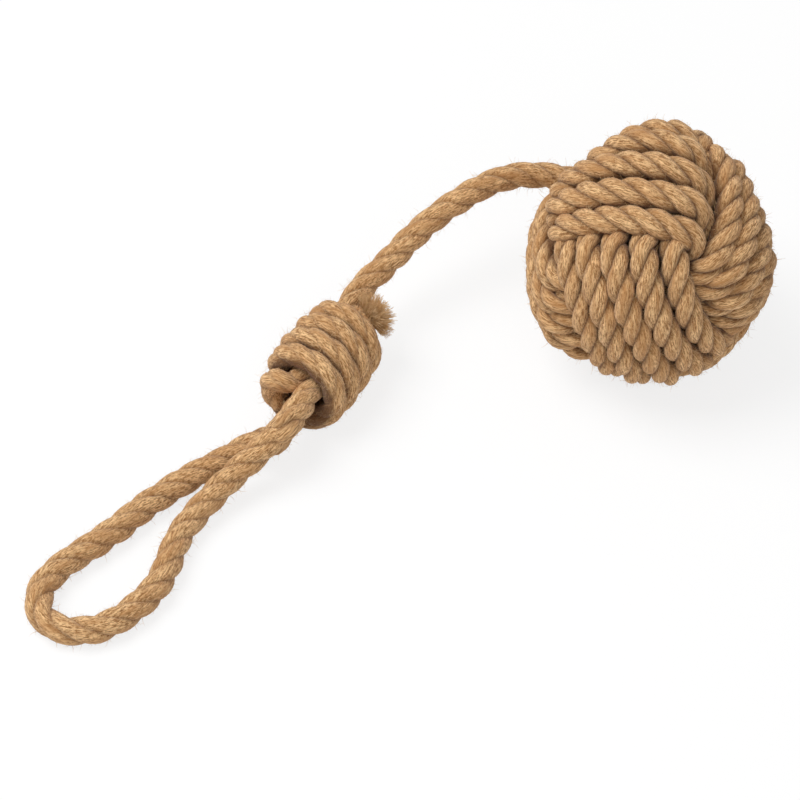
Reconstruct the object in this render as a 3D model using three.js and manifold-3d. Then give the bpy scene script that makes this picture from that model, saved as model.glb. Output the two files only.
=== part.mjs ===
// Rope dog toy: a monkey's fist ball, a throwing rope, a wrapped noose knot and a hand loop,
// all of one three-strand jute rope. Millimetres, +Z up. The origin is the middle of the small
// flat that the ball rests on, and +X runs from the hand loop's tip towards the knot and ball.
import * as THREE from 'three';
import { mergeVertices } from 'three/addons/utils/BufferGeometryUtils.js';
import Module from 'manifold-3d';

const wasm = await Module();
wasm.setup();

// Rope
const ropeDiameter = 10; // free rope
const ropeSides = 10;
const ropeStep = 8; // length of one step of a free rope's tube
const jointGap = 0.3; // between the end faces of two stretches of rope
const windingFlatDepth = 0.5; // how far a winding is pressed flat where it rests
const ropeFlatDepth = 1; // the same for the hand loop

// Monkey's fist
const fistTurns = 5; // turns in each of the three bands
const fistRopeDiameter = 9.2; // rope on the outside of the ball
const fistTuckedDiameter = 5.8; // rope squeezed under the next band
const fistTurnGap = 0.8; // between neighbouring turns
const fistLayerGap = 3; // between the outer and the tucked layer
const coreGap = 0.7; // between the tucked layer and the core
const panelHalfAngle = 37; // half the arc that one band covers, in degrees
const pinch = 0.32; // share of the spread lost where a band is tucked
const roundness = 2.2; // 2 is a sphere, more is a squarer ball
const diveSharpness = 0.49; // smaller dives faster under the next band
const squeezeReach = 1.28; // larger squeezes the rope further out of the tucks
const cornerLift = 1.4; // how far edge turns ride up at the corners
const stepHalfAngle = 43; // half the arc of the tucked side that one step takes, in degrees
const exitAngle = 49; // where the last turn leaves the ball, in degrees under its equator
const ballYaw = -63; // degrees
const loopSteps = 24;
const loopSides = 6;

// Noose knot
const knotCentreX = -96;
const knotCentreY = 74.5;
const knotYaw = 10.7; // degrees
const knotRopeDiameter = 8.8; // rope in the wraps
const knotBuriedDiameter = 7.6; // the three ropes inside the wraps
const knotTurnGap = 0.7; // between neighbouring wraps
const knotBuriedGap = 0.5; // between the buried ropes, and from them to the wraps
const knotWholeTurns = 4; // full turns between the two end bends
const knotBuriedTwist = 40; // degrees that the buried ropes turn about each other
const knotStandingAngle = 90; // where the standing part lies at the ball's end, in degrees
const knotBendAngle = 105; // arc in which a buried rope becomes a wrap, in degrees
const knotBendBulge = 6; // how far that bend stands out of the wraps
const knotBendSteps = 8;
const knotEndReach = 12; // how far the buried ropes run on past the wraps
const knotEndFlare = 1.5; // how far they part there
const knotRunStep = 4; // length of one step of a buried rope
const tailForward = 7; // the cut tail's place past the last wrap
const tailSide = 14; // how far the tail stands out to the side

// Routes of the free rope, from piece to piece
const loopHeight = ropeDiameter / 2 - ropeFlatDepth; // where the hand loop lies on the floor
const throwRoute = [
  [23.4, 35.5, 30.4], [25.2, 40.6, 34.2], [23.8, 46.8, 36.6], [20.3, 53.2, 38.2], [16.6, 58.8, 39],
  [11.5, 64.4, 39.4], [5.7, 68.5, 39.2], [-1.6, 71.8, 38.4], [-10.8, 75.3, 36.2], [-21.9, 79, 32.8],
  [-33.7, 81.5, 29], [-47.5, 82.4, 25.4],
];
const loopRoute = [
  [-136.5, 64.4, 19], [-147, 65.4, 13.6], [-156.5, 66.3, 8.8], [-166, 66.8, 5.2],
  [-175.5, 66.2, loopHeight], [-183.5, 64.6, loopHeight], [-190.5, 62, loopHeight],
  [-197.5, 58.6, loopHeight], [-205.5, 56.2, loopHeight], [-214, 55.6, loopHeight],
  [-222.5, 56.4, loopHeight], [-229.5, 58.8, loopHeight], [-235.3, 63.6, loopHeight],
  [-238.8, 71, loopHeight], [-237.4, 79, loopHeight], [-231.8, 84.8, loopHeight],
  [-223.5, 87.4, loopHeight], [-214, 87.2, loopHeight], [-203, 85.6, loopHeight],
  [-193, 84.4, loopHeight], [-183, 84.2, loopHeight], [-174, 83.9, loopHeight],
  [-165.5, 82.6, 4.8], [-157, 80.8, 7.4], [-148, 78.8, 10.8], [-138.5, 76.6, 14.6],
];
const loopLegLength = 32; // how much of the loop's rope belongs to each leg

// Colours
const juteColour = 0xb98f60;
const coreColour = 0x8a6a45;

// Helpers
const X = new THREE.Vector3(1, 0, 0);
const Y = new THREE.Vector3(0, 1, 0);
const Z = new THREE.Vector3(0, 0, 1);
const radians = THREE.MathUtils.degToRad;
const toy = new THREE.Group();

function smooth(share) {
  const t = THREE.MathUtils.clamp(share, -1, 1);
  return 0.5 + 0.5 * t * (1.5 - 0.5 * t * t);
}

function addPiece(name, geometry, colour) {
  const material = new THREE.MeshStandardMaterial({ color: colour, roughness: 0.95, metalness: 0 });
  const mesh = new THREE.Mesh(geometry, material);
  mesh.name = name;
  toy.add(mesh);
}

function toManifold(geometry) {
  const bare = new THREE.BufferGeometry();
  bare.setAttribute('position', geometry.getAttribute('position'));
  bare.setIndex(geometry.index);
  const merged = mergeVertices(bare, 1e-4);
  const vertProperties = new Float32Array(merged.getAttribute('position').array);
  const triVerts = new Uint32Array(merged.index.array);
  return new wasm.Manifold(new wasm.Mesh({ numProp: 3, vertProperties, triVerts }));
}

// The geometry with all that lies under the floor cut away.
function cutFlat(geometry) {
  geometry.computeBoundingBox();
  const size = geometry.boundingBox.getSize(new THREE.Vector3());
  const middle = geometry.boundingBox.getCenter(new THREE.Vector3());
  const below = new THREE.BoxGeometry(2 * size.x, 2 * size.y, ropeDiameter);
  below.translate(middle.x, middle.y, -ropeDiameter / 2);
  const cut = toManifold(geometry).subtract(toManifold(below)).getMesh();
  const result = new THREE.BufferGeometry();
  result.setAttribute('position', new THREE.Float32BufferAttribute(cut.vertProperties, 3));
  result.setIndex(Array.from(cut.triVerts));
  return result;
}

// A wound rope is a list of stations: a point, a radius and the direction that a flat side faces.
function windingGeometry(stations) {
  const last = stations.length - 1;
  const positions = [];
  stations.forEach((station, i) => {
    const behind = station.point.clone().sub(stations[Math.max(i - 1, 0)].point).normalize();
    const ahead = stations[Math.min(i + 1, last)].point.clone().sub(station.point).normalize();
    const tangent = behind.add(ahead).normalize();
    const normal = station.outward.clone();
    normal.addScaledVector(tangent, -normal.dot(tangent)).normalize();
    const side = new THREE.Vector3().crossVectors(tangent, normal);
    for (let k = 0; k < loopSides; k += 1) {
      const angle = ((k + 0.5) / loopSides) * 2 * Math.PI;
      const corner = station.point.clone();
      corner.addScaledVector(normal, station.radius * Math.cos(angle));
      corner.addScaledVector(side, station.radius * Math.sin(angle));
      positions.push(corner.x, corner.y, corner.z);
    }
  });
  const index = [];
  for (let i = 0; i < last; i += 1) {
    for (let k = 0; k < loopSides; k += 1) {
      const a = i * loopSides + k;
      const b = i * loopSides + ((k + 1) % loopSides);
      index.push(a, b, b + loopSides, a, b + loopSides, a + loopSides);
    }
  }
  for (let k = 1; k < loopSides - 1; k += 1) {
    index.push(0, k + 1, k);
    index.push(last * loopSides, last * loopSides + k, last * loopSides + k + 1);
  }
  const geometry = new THREE.BufferGeometry();
  geometry.setAttribute('position', new THREE.Float32BufferAttribute(positions, 3));
  geometry.setIndex(index);
  return geometry;
}

// Least gap of a wound rope to itself, over points at least apart from each other along the rope.
function leastGap(stations, apart) {
  const along = [0];
  for (let i = 1; i < stations.length; i += 1) {
    along.push(along[i - 1] + stations[i].point.distanceTo(stations[i - 1].point));
  }
  let least = Infinity;
  stations.forEach((one, i) => {
    stations.forEach((other, j) => {
      if (along[j] - along[i] < apart) return;
      least = Math.min(least, one.point.distanceTo(other.point) - one.radius - other.radius);
    });
  });
  return least;
}

// Where a wound rope ends and which way it points there. The start points backwards.
function ropeEnd(stations, atStart) {
  const ordered = atStart ? [...stations].reverse() : stations;
  const point = ordered[ordered.length - 1].point;
  const direction = point.clone().sub(ordered[ordered.length - 2].point).normalize();
  return { point, direction };
}

// Monkey's fist. Each band goes round the ball: over two faces on the outside, and tucked under
// the next band on the two faces between. From turn to turn it steps aside by one pitch, on a
// tucked side, where the step is hidden.
const fistPitch = fistRopeDiameter + fistTurnGap;
const fistOuterRadius = (fistTurns * fistPitch) / 2 / Math.sin(radians(panelHalfAngle));
const fistInnerRadius = fistOuterRadius - (fistRopeDiameter + fistTuckedDiameter) / 2 - fistLayerGap;
const coreRadius = fistInnerRadius - fistTuckedDiameter / 2 - coreGap;
const flatSideRatio = Math.cos(Math.PI / loopSides);
const ballHeight = fistOuterRadius + (fistRopeDiameter / 2) * flatSideRatio - windingFlatDepth;
const ballCentre = new THREE.Vector3(0, 0, ballHeight);
const lastTuck = (2 * fistTurns + 0.5) * Math.PI - radians(stepHalfAngle);
const lastExit = 2 * fistTurns * Math.PI - radians(exitAngle);
const bands = [
  { name: 'fist_first_turns', over: Z, under: X.clone().negate(), aside: Y, end: lastTuck },
  { name: 'fist_second_turns', over: X, under: Y.clone().negate(), aside: Z, end: lastTuck },
  { name: 'fist_third_turns', over: Y, under: Z, aside: X.clone().negate(), end: lastExit },
];

// How far from the middle turn the rope is at an angle round the ball, in turns.
function turnAt(angle) {
  const middle = (fistTurns - 1) / 2;
  const whole = Math.round((angle - Math.PI / 2) / (2 * Math.PI));
  const share = (angle - Math.PI / 2 - 2 * Math.PI * whole) / radians(stepHalfAngle);
  return THREE.MathUtils.clamp(whole - 1 + smooth(share) - middle, -middle, middle);
}

function fistStation(band, angle) {
  const cosine = Math.cos(angle);
  const sine = Math.sin(angle);
  const turn = turnAt(angle);
  const offset = fistPitch * turn * (1 - pinch * sine * sine);
  const outside = smooth(Math.cos(2 * angle) / diveSharpness);
  const reach = fistInnerRadius + (fistOuterRadius - fistInnerRadius) * outside;
  const inPlane = (reach ** roundness - Math.abs(offset) ** roundness) ** (1 / roundness);
  const square = (Math.abs(cosine) ** roundness + Math.abs(sine) ** roundness) ** (-1 / roundness);
  const edge = (turn / ((fistTurns - 1) / 2)) ** 2;
  const distance = inPlane * square + cornerLift * Math.sin(2 * angle) ** 2 * edge;
  const outward = band.over.clone().multiplyScalar(distance * cosine);
  outward.addScaledVector(band.under, distance * sine).addScaledVector(band.aside, offset);
  outward.applyAxisAngle(Z, radians(ballYaw));
  const fullness = smooth(Math.cos(2 * angle) / squeezeReach);
  const diameter = fistTuckedDiameter + (fistRopeDiameter - fistTuckedDiameter) * fullness;
  return { point: outward.clone().add(ballCentre), outward, radius: diameter / 2 };
}

function fistBand(band) {
  const start = Math.PI / 2 + radians(stepHalfAngle);
  const steps = Math.round(((band.end - start) / (2 * Math.PI)) * loopSteps);
  const stations = [];
  for (let i = 0; i <= steps; i += 1) {
    stations.push(fistStation(band, start + ((band.end - start) * i) / steps));
  }
  if (band.end === lastExit) {
    const { point, direction } = ropeEnd(stations, false);
    const { outward } = stations[stations.length - 1];
    const straight = point.clone().addScaledVector(direction, fistRopeDiameter);
    stations.push({ point: straight, outward, radius: fistRopeDiameter / 2 });
  }
  return stations;
}

const fistRopes = bands.map(fistBand);
bands.forEach(({ name }, i) => {
  addPiece(name, cutFlat(windingGeometry(fistRopes[i])), juteColour);
  const gap = leastGap(fistRopes[i], Math.PI * fistInnerRadius);
  console.log(`${name}: least gap to itself ${gap.toFixed(2)} mm`);
});
const core = new THREE.SphereGeometry(coreRadius, 24, 14);
core.translate(0, 0, ballHeight);
addPiece('ball_core', core, coreColour);

// Noose knot. Three ropes are buried side by side in the wraps. The standing part runs straight
// through. The loop's other end runs through to the ball's side, turns back there as the wraps,
// turns in again at the loop's side and comes out beside the throwing rope as the cut tail.
const wrapPitch = knotRopeDiameter + knotTurnGap;
const buriedCentre = (knotBuriedDiameter + knotBuriedGap) / Math.sqrt(3);
const wrapCentre = buriedCentre + (knotBuriedDiameter + knotRopeDiameter) / 2 + knotBuriedGap;
const knotHeight = wrapCentre + (knotRopeDiameter / 2) * flatSideRatio - windingFlatDepth;
const tailAngle = knotStandingAngle + 120;
const legAngle = knotStandingAngle - 120;
const firstWrapAngle = legAngle + knotBendAngle;
const lastWrapAngle = tailAngle + knotBuriedTwist - knotBendAngle + 360 * knotWholeTurns;
const wrapTurns = (lastWrapAngle - firstWrapAngle) / 360;
const halfWraps = (wrapPitch * wrapTurns) / 2;
const halfKnot = halfWraps + knotEndReach;

function knotPlace(along, across, up) {
  const place = new THREE.Vector3(along, across, up).applyAxisAngle(Z, radians(knotYaw));
  return place.add(new THREE.Vector3(knotCentreX, knotCentreY, knotHeight));
}

// A station at a place along the knot, an angle round it in degrees and a distance from its middle.
function knotStation(along, angle, distance, diameter) {
  const across = Math.cos(radians(angle));
  const up = Math.sin(radians(angle));
  const outward = knotPlace(along, across, up).sub(knotPlace(along, 0, 0));
  return { point: knotPlace(along, distance * across, distance * up), outward, radius: diameter / 2 };
}

// A buried rope, which swells to its free size and parts from the others past the wraps.
function buriedStation(along, ballSideAngle) {
  const angle = ballSideAngle + knotBuriedTwist * (0.5 - along / (2 * halfWraps));
  const past = Math.max(Math.abs(along) - halfWraps, 0) / knotEndReach;
  const share = smooth(2 * past - 1) - smooth(-1);
  const diameter = knotBuriedDiameter + (ropeDiameter - knotBuriedDiameter) * share;
  return knotStation(along, angle, buriedCentre + knotEndFlare * share, diameter);
}

function buriedRun(from, to, ballSideAngle) {
  const steps = Math.ceil(Math.abs(to - from) / knotRunStep);
  const stations = [];
  for (let i = 0; i <= steps; i += 1) {
    stations.push(buriedStation(from + ((to - from) * i) / steps, ballSideAngle));
  }
  return stations;
}

// The bend from a buried rope, at share 0, to a wrap, at share 1.
function bendStation(share, end, buriedAngle, turning) {
  const along = end * (halfWraps + (27 / 4) * knotBendBulge * share * (1 - share) ** 2);
  const angle = buriedAngle + turning * knotBendAngle * share ** 2;
  const rise = smooth(2 * share - 1);
  const distance = buriedCentre + (wrapCentre - buriedCentre) * rise;
  const diameter = knotBuriedDiameter + (knotRopeDiameter - knotBuriedDiameter) * rise;
  return knotStation(along, angle, distance, diameter);
}

function knotWraps() {
  const stations = buriedRun(-halfKnot, halfWraps, legAngle);
  for (let i = 1; i <= knotBendSteps; i += 1) {
    stations.push(bendStation(i / knotBendSteps, 1, legAngle, 1));
  }
  const steps = Math.round(wrapTurns * loopSteps);
  for (let i = 1; i < steps; i += 1) {
    const angle = firstWrapAngle + ((lastWrapAngle - firstWrapAngle) * i) / steps;
    stations.push(knotStation(halfWraps - (2 * halfWraps * i) / steps, angle, wrapCentre, knotRopeDiameter));
  }
  for (let i = knotBendSteps; i >= 1; i -= 1) {
    stations.push(bendStation(i / knotBendSteps, -1, tailAngle + knotBuriedTwist, -1));
  }
  stations.push(...buriedRun(-halfWraps, halfWraps, tailAngle));
  const root = stations[stations.length - 1];
  const side = knotPlace(0, -1, 0).sub(knotPlace(0, 0, 0));
  const forward = knotPlace(1, 0, 0).sub(knotPlace(0, 0, 0));
  const bend = [[0.5, 0.04], [0.86, 0.24], [1, 0.55], [1, 1]];
  bend.forEach(([ahead, out]) => {
    const point = root.point.clone();
    point.addScaledVector(forward, tailForward * ahead).addScaledVector(side, tailSide * out);
    stations.push({ point, outward: Z, radius: knotBuriedDiameter / 2 });
  });
  return stations;
}

const standingPart = buriedRun(-halfKnot, halfKnot, knotStandingAngle);
const wraps = knotWraps();
addPiece('knot_standing_part', windingGeometry(standingPart), juteColour);
addPiece('knot_wraps', cutFlat(windingGeometry(wraps)), juteColour);
console.log(`knot_wraps: least gap to itself ${leastGap(wraps, 2 * knotRopeDiameter).toFixed(2)} mm`);

// Free rope. Each stretch is a tube along a part of a smooth curve, between two lengths along it.
class Stretch extends THREE.Curve {
  constructor(whole, from, to) {
    super();
    this.whole = whole;
    this.from = from / whole.getLength();
    this.to = to / whole.getLength();
  }

  getPoint(share) {
    return this.whole.getPointAt(THREE.MathUtils.lerp(this.from, this.to, share));
  }
}

function ropeCurve(start, route, end) {
  const first = start.point.clone().addScaledVector(start.direction, jointGap);
  const last = end.point.clone().addScaledVector(end.direction, jointGap);
  const leave = first.clone().addScaledVector(start.direction, ropeDiameter / 2);
  const arrive = last.clone().addScaledVector(end.direction, ropeDiameter / 2);
  const middle = route.map((place) => new THREE.Vector3(...place));
  return new THREE.CatmullRomCurve3([first, leave, ...middle, arrive, last], false, 'centripetal');
}

function ropeTube(stretch, length) {
  const section = new THREE.Shape();
  section.absarc(0, 0, ropeDiameter / 2, 0, 2 * Math.PI);
  const steps = Math.ceil(length / ropeStep);
  const settings = { steps, curveSegments: ropeSides / 2, bevelEnabled: false, extrudePath: stretch };
  const tube = new THREE.ExtrudeGeometry(section, settings);
  tube.deleteAttribute('normal');
  tube.deleteAttribute('uv');
  return mergeVertices(tube, 1e-4);
}

const throwCurve = ropeCurve(ropeEnd(fistRopes[2], false), throwRoute, ropeEnd(standingPart, false));
const throwLength = throwCurve.getLength();
addPiece('throw_rope', ropeTube(new Stretch(throwCurve, 0, throwLength), throwLength), juteColour);

// Hand loop: a front leg out of the standing part, the loop, and a back leg into the wraps.
const loopCurve = ropeCurve(ropeEnd(standingPart, true), loopRoute, ropeEnd(wraps, true));
const loopLength = loopCurve.getLength();
const handStart = loopLegLength + jointGap;
const handEnd = loopLength - loopLegLength - jointGap;
const frontLeg = new Stretch(loopCurve, 0, loopLegLength);
const hand = new Stretch(loopCurve, handStart, handEnd);
const backLeg = new Stretch(loopCurve, loopLength - loopLegLength, loopLength);
addPiece('loop_leg_front', ropeTube(frontLeg, loopLegLength), juteColour);
addPiece('handle_loop', cutFlat(ropeTube(hand, handEnd - handStart)), juteColour);
addPiece('loop_leg_back', ropeTube(backLeg, loopLegLength), juteColour);
console.log(`throw rope ${throwLength.toFixed(0)} mm, hand loop ${loopLength.toFixed(0)} mm of rope`);

export default toy;
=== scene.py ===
# %% [markdown]
# # Rope dog toy
# The toy is one length of three-strand jute rope. It is wound into a monkey's fist round a wooden core,
# runs on as a throwing rope, goes through a wrapped noose knot and ends in a hand loop. The CAD model
# holds the sizes and the joints, and this lesson lays real strands along the same routes. The box of
# the CAD model is kept, because the finished rope has to fit it.

import bpy
import numpy as np
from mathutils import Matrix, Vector


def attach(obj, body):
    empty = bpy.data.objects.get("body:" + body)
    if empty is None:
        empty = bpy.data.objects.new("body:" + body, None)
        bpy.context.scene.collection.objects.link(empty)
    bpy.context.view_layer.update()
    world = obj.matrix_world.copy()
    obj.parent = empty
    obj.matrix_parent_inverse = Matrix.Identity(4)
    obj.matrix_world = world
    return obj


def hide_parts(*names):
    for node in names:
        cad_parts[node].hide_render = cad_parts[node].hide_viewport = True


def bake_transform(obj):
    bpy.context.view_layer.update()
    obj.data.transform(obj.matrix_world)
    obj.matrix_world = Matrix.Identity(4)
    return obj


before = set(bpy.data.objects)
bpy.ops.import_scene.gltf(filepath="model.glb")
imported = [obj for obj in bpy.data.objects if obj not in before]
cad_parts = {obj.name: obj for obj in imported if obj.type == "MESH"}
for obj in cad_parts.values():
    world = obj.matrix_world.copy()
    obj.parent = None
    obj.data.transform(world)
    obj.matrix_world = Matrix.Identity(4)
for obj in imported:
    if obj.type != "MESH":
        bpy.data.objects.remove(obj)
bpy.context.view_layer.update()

MM = 0.001
scene = bpy.context.scene

# %% [markdown]
# ## Camera
# The photo looks down at the toy with a long lens, from the hand loop's side. The place and the lens
# come from the ball's size in the picture, so a point of the toy lands on the same pixel as in the
# photo.

# %% Camera
CAMERA_PLACE = Vector((-0.6804, -0.4352, 0.7991))
CAMERA_AIM = Vector((-0.0866, 0.0457, 0.0078))
CAMERA_LENS = 138.7
SENSOR_WIDTH = 36


def aimed(place, target):
    """The turn that points a camera or a lamp from its place at the target."""
    return (target - place).to_track_quat("-Z", "Y").to_euler()


camera_data = bpy.data.cameras.new("camera")
camera_data.sensor_width = SENSOR_WIDTH
camera_data.lens = CAMERA_LENS
camera = bpy.data.objects.new("camera", camera_data)
camera.location = CAMERA_PLACE
camera.rotation_euler = aimed(CAMERA_PLACE, CAMERA_AIM)
scene.collection.objects.link(camera)
scene.camera = camera
scene.view_settings.view_transform = "Standard"
print("camera distance", round((CAMERA_AIM - CAMERA_PLACE).length, 3), "m")

# %% [markdown]
# ## The rope as a line
# A rope is easiest to think of as a line first: where its middle runs, how thick it is there, how
# tightly its strands are twisted, and whether it lies in the open. Every stretch of the toy becomes
# rows of those numbers. A smooth curve through a few listed points serves for the free rope, and a
# formula serves for the windings, which follow a rule. All of it is in millimetres until the line is
# finished.

# %% Sizes of the rope
ROPE_RADIUS = 5.0
LAY_OPEN = 30.0  # length of one full turn of the strands in free rope
LAY_WOUND = 27.0  # the same where the rope was pulled tight in a winding
ROW_STEP = 1.2  # the most that two rows are apart
CURVE_SAMPLES = 24  # from one point of a route to the next
# The columns of a row: the place of the rope's middle, its radius, the twist per mm, 1 where it lies in
# the open and 0 where it is tucked away, how far its strands swell into each other, and the way out of
# a winding.
PLACE = slice(0, 3)
RADIUS, TWIST, OPEN, SLACK = 3, 4, 5, 6
OUTWARD = slice(7, 10)
print("rope of", 2 * ROPE_RADIUS, "mm, one turn of its strands in", LAY_OPEN, "mm")


# %% Curves and rows
def smooth(share):
    """From 0 to 1 without a kink, while the share goes from -1 to 1."""
    t = np.clip(share, -1, 1)
    return 0.5 + 0.5 * t * (1.5 - 0.5 * t * t)


def unit(vectors):
    return vectors / np.linalg.norm(vectors, axis=1)[:, None]


def steps_along(points):
    """The distance of every point from the one before it, and 0 for the first."""
    return np.r_[0, np.linalg.norm(np.diff(points, axis=0), axis=1)]


def through(points):
    """A smooth curve through the points, where near neighbours steer a point more than far ones."""
    points = np.asarray(points, float)
    gaps = np.sqrt(np.linalg.norm(np.diff(points, axis=0), axis=1))[:, None]
    steps = np.diff(points, axis=0) / gaps
    middle = steps[:-1] + steps[1:] - (points[2:] - points[:-2]) / (gaps[:-1] + gaps[1:])
    slopes = np.vstack([steps[:1], middle, steps[-1:]])
    t = np.linspace(0, 1, CURVE_SAMPLES, endpoint=False)[None, :, None]
    leave = slopes[:-1, None] * gaps[:, None]
    arrive = slopes[1:, None] * gaps[:, None]
    curve = points[:-1, None] * (1 + 2 * t) * (1 - t) ** 2 + points[1:, None] * t * t * (3 - 2 * t)
    curve = curve + leave * t * (1 - t) ** 2 - arrive * t * t * (1 - t)
    return np.vstack([curve.reshape(-1, 3), points[-1:]])


def stretch(points, radius=ROPE_RADIUS, lay=LAY_OPEN, in_open=1.0, slack=1.0, outward=(0, 0, 0)):
    """Evenly spaced rows along the points."""
    values = (radius, 2 * np.pi / lay, in_open, slack)
    columns = [np.broadcast_to(value, len(points)) for value in values]
    rows = np.column_stack([points, *columns, np.broadcast_to(outward, (len(points), 3))])
    length = np.cumsum(steps_along(rows[:, PLACE]))
    places = np.linspace(0, length[-1], int(length[-1] / ROW_STEP) + 2)
    return np.column_stack([np.interp(places, length, column) for column in rows.T])


print("a row for every", ROW_STEP, "mm of rope")

# %% [markdown]
# ## Monkey's fist
# The ball is the part of the toy that takes most skill to tie. Three bands of five turns go round the
# core, each at right angles to the other two. Every band lies on the outside over two faces and is
# tucked under the next band on the two faces between, and it steps aside by one rope where it is
# tucked. One formula in the angle round the ball gives a whole band, so the three bands are the same
# line turned to other axes. The tables hold what makes this ball its own: how its turns lean, and where
# it isn't quite round.

# %% Sizes of the fist
X, Y, Z = np.eye(3)
BALL_HEIGHT = 45.0  # of the ball's middle over the floor
BALL_TURNS = [(0, 6), (1, -22), (2, -61)]  # axes and the degrees that the ball is turned about them
FIST_TURNS = 5
OUTERMOST = (FIST_TURNS - 1) / 2  # number of a band's last turn, counted from its middle turn
FIST_OUTER = 41.6  # middle of the rope on the outside, from the ball's middle
FIST_INNER = 32.3  # and where it is tucked
FIST_DOME = 2.0  # how much lower the outermost turns of a band lie than its middle turn
FIST_CROWDING = 0.015  # how much closer together they lie
FIST_WANDER = 0.3  # how far a turn strays from its place
WANDER_WAVES = [(2.3, 0), (0.77, 1)]  # the rate and the start of each wave that it strays in
FIST_STEP = np.radians(43)  # half the arc in which a turn steps aside
FACE_CHANGE = 0.4  # how far round, as a cosine, the lean of one face goes over to the other's
TUCK_EDGE = 0.65  # how far round, as a cosine, the rope comes out of a tuck
TUCK_SLOPE = 0.13  # and over how much more it rises
TUCKED_RADIUS = 4.2
FIST_SWELL = 1.1  # how much thicker the rope is on the outside
FIST_SLACK = 0.3
FIST_SAMPLES = 1600  # points along a band
FIST_HIDDEN = np.radians(15)  # how far from the middle of a tuck a band starts and ends
FIST_EXIT = np.radians(49)  # where the last turn leaves, under the ball's equator
BAND_START = np.pi / 2 + FIST_HIDDEN
BAND_END = (2 * FIST_TURNS + 0.5) * np.pi - FIST_HIDDEN
LAST_BAND_END = 2 * FIST_TURNS * np.pi - FIST_EXIT
# For each band: the axis it lies over, the axis it is tucked at and the axis its turns lie along, then
# the distance from turn to turn, the degrees that the turns lean on its two outer faces, the mm that
# they are shifted aside there, and the share of their spread that is lost at its two tucks.
BANDS = [
    (Z, -X, Y, 11.0, (9, 0), (2.9, -3), (0.3, 0.1)),
    (X, -Y, Z, 9.5, (-8, 0), (1.5, 3), (0.35, 0.2)),
    (Y, Z, -X, 9.7, (-5, 2), (-2, 0), (-0.14, -0.2)),
]
# A ball tied by hand isn't quite round. Each row is a direction from its middle, how many mm the rope
# stands out there, and how many degrees the swelling reaches.
SWELLINGS = [
    ((0.78, -0.58, 0.24), -7.5, 24),
    ((0.10, 0.82, 0.57), -6.0, 24),
    ((0.40, 0.20, 0.89), 4.0, 24),
    ((0.78, 0.40, 0.48), -4.0, 20),
    ((-0.83, 0.15, -0.53), 4.0, 24),
    ((-0.31, -0.69, -0.65), 3.0, 40),
    ((0.12, -0.89, -0.45), -3.0, 15),
    ((-0.58, 0.81, 0.06), -1.6, 18),
]
print("fist of", len(BANDS), "bands of", FIST_TURNS, "turns")


# %% Helpers for the fist
def turned(points, angle, axis=2):
    """The points turned about the x, y or z axis, which is number 0, 1 or 2."""
    one, two = (axis + 1) % 3, (axis + 2) % 3
    result = np.array(points, float)
    result[:, one] = points[:, one] * np.cos(angle) - points[:, two] * np.sin(angle)
    result[:, two] = points[:, one] * np.sin(angle) + points[:, two] * np.cos(angle)
    return result


def swollen(points):
    """The points of a round ball with its swellings and dents."""
    away = unit(points)
    for direction, amount, width in SWELLINGS:
        apart = np.degrees(np.arccos(np.clip(away @ np.array(direction), -1, 1)))
        points = points + away * amount * np.exp(-((apart / width) ** 2))[:, None]
    return points


def turn_number(angle):
    """The turn that a band is on, counted from its middle turn, with a step aside at one of the tucks."""
    whole = np.round((angle - np.pi / 2) / (2 * np.pi))
    stepped = smooth((angle - np.pi / 2 - 2 * np.pi * whole) / FIST_STEP)
    return np.clip(whole - OUTERMOST - 1 + stepped, -OUTERMOST, OUTERMOST)


def aside_from_middle(number, angle, turn):
    """How far the rope lies to the side of its band's middle."""
    pitch, leans, shifts, pinches = BANDS[number][3:]
    sine = np.sin(angle)
    facing = smooth(np.cos(angle) / FACE_CHANGE)
    wander = sum(FIST_WANDER * np.sin(rate * angle + start) for rate, start in WANDER_WAVES)
    lean = np.interp(facing, [0, 1], np.tan(np.radians(leans[::-1])))
    shift = np.interp(facing, [0, 1], shifts[::-1])
    spread = 1 - np.where(sine > 0, *pinches) * sine**2
    place = pitch * turn * (1 - FIST_CROWDING * turn**2) * spread
    return place + FIST_INNER * sine * lean + shift + wander


print("a band goes from turn", turn_number(BAND_START), "to turn", turn_number(BAND_END))


# %% Bands of the fist
def fist_band(number, end):
    """One band. It dips where the next band lies over it, along the leaning edge of that band."""
    over, under, aside = BANDS[number][:3]
    next_over, next_under, next_aside, _, next_leans, next_shifts, _ = BANDS[(number + 1) % len(BANDS)]
    angle = np.linspace(BAND_START, end, FIST_SAMPLES)
    cosine, sine = np.cos(angle), np.sin(angle)
    turn = turn_number(angle)
    offset = aside_from_middle(number, angle, turn)
    next_side = sine * (under @ next_over) > 0
    next_lean = np.where(next_side, *np.tan(np.radians(next_leans)))
    edge = np.where(next_side, *next_shifts) + next_lean * (next_under @ aside) * offset
    from_tuck = np.abs(cosine - (next_aside @ over) * edge / FIST_OUTER)
    outside = smooth((from_tuck - TUCK_EDGE) / TUCK_SLOPE)
    reach = FIST_INNER + (FIST_OUTER - FIST_DOME * (turn / OUTERMOST) ** 2 - FIST_INNER) * outside
    points = np.outer(reach * np.cos(offset / reach) * cosine, over)
    points = points + np.outer(reach * np.cos(offset / reach) * sine, under)
    points = points + np.outer(reach * np.sin(offset / reach), aside)
    for axis, degrees in BALL_TURNS:
        points = turned(points, np.radians(degrees), axis)
    # The way out from the ball's middle sets the painted shade in the hollows between the turns.
    outward = unit(points)
    points = swollen(points) + [0, 0, BALL_HEIGHT]
    return stretch(points, TUCKED_RADIUS + FIST_SWELL * outside, LAY_WOUND, outside, FIST_SLACK, outward)


fist_first = fist_band(0, BAND_END)
fist_second = fist_band(1, BAND_END)
fist_third = fist_band(2, LAST_BAND_END)
print("rope in the fist", len(fist_first) + len(fist_second) + len(fist_third), "rows")

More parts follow.
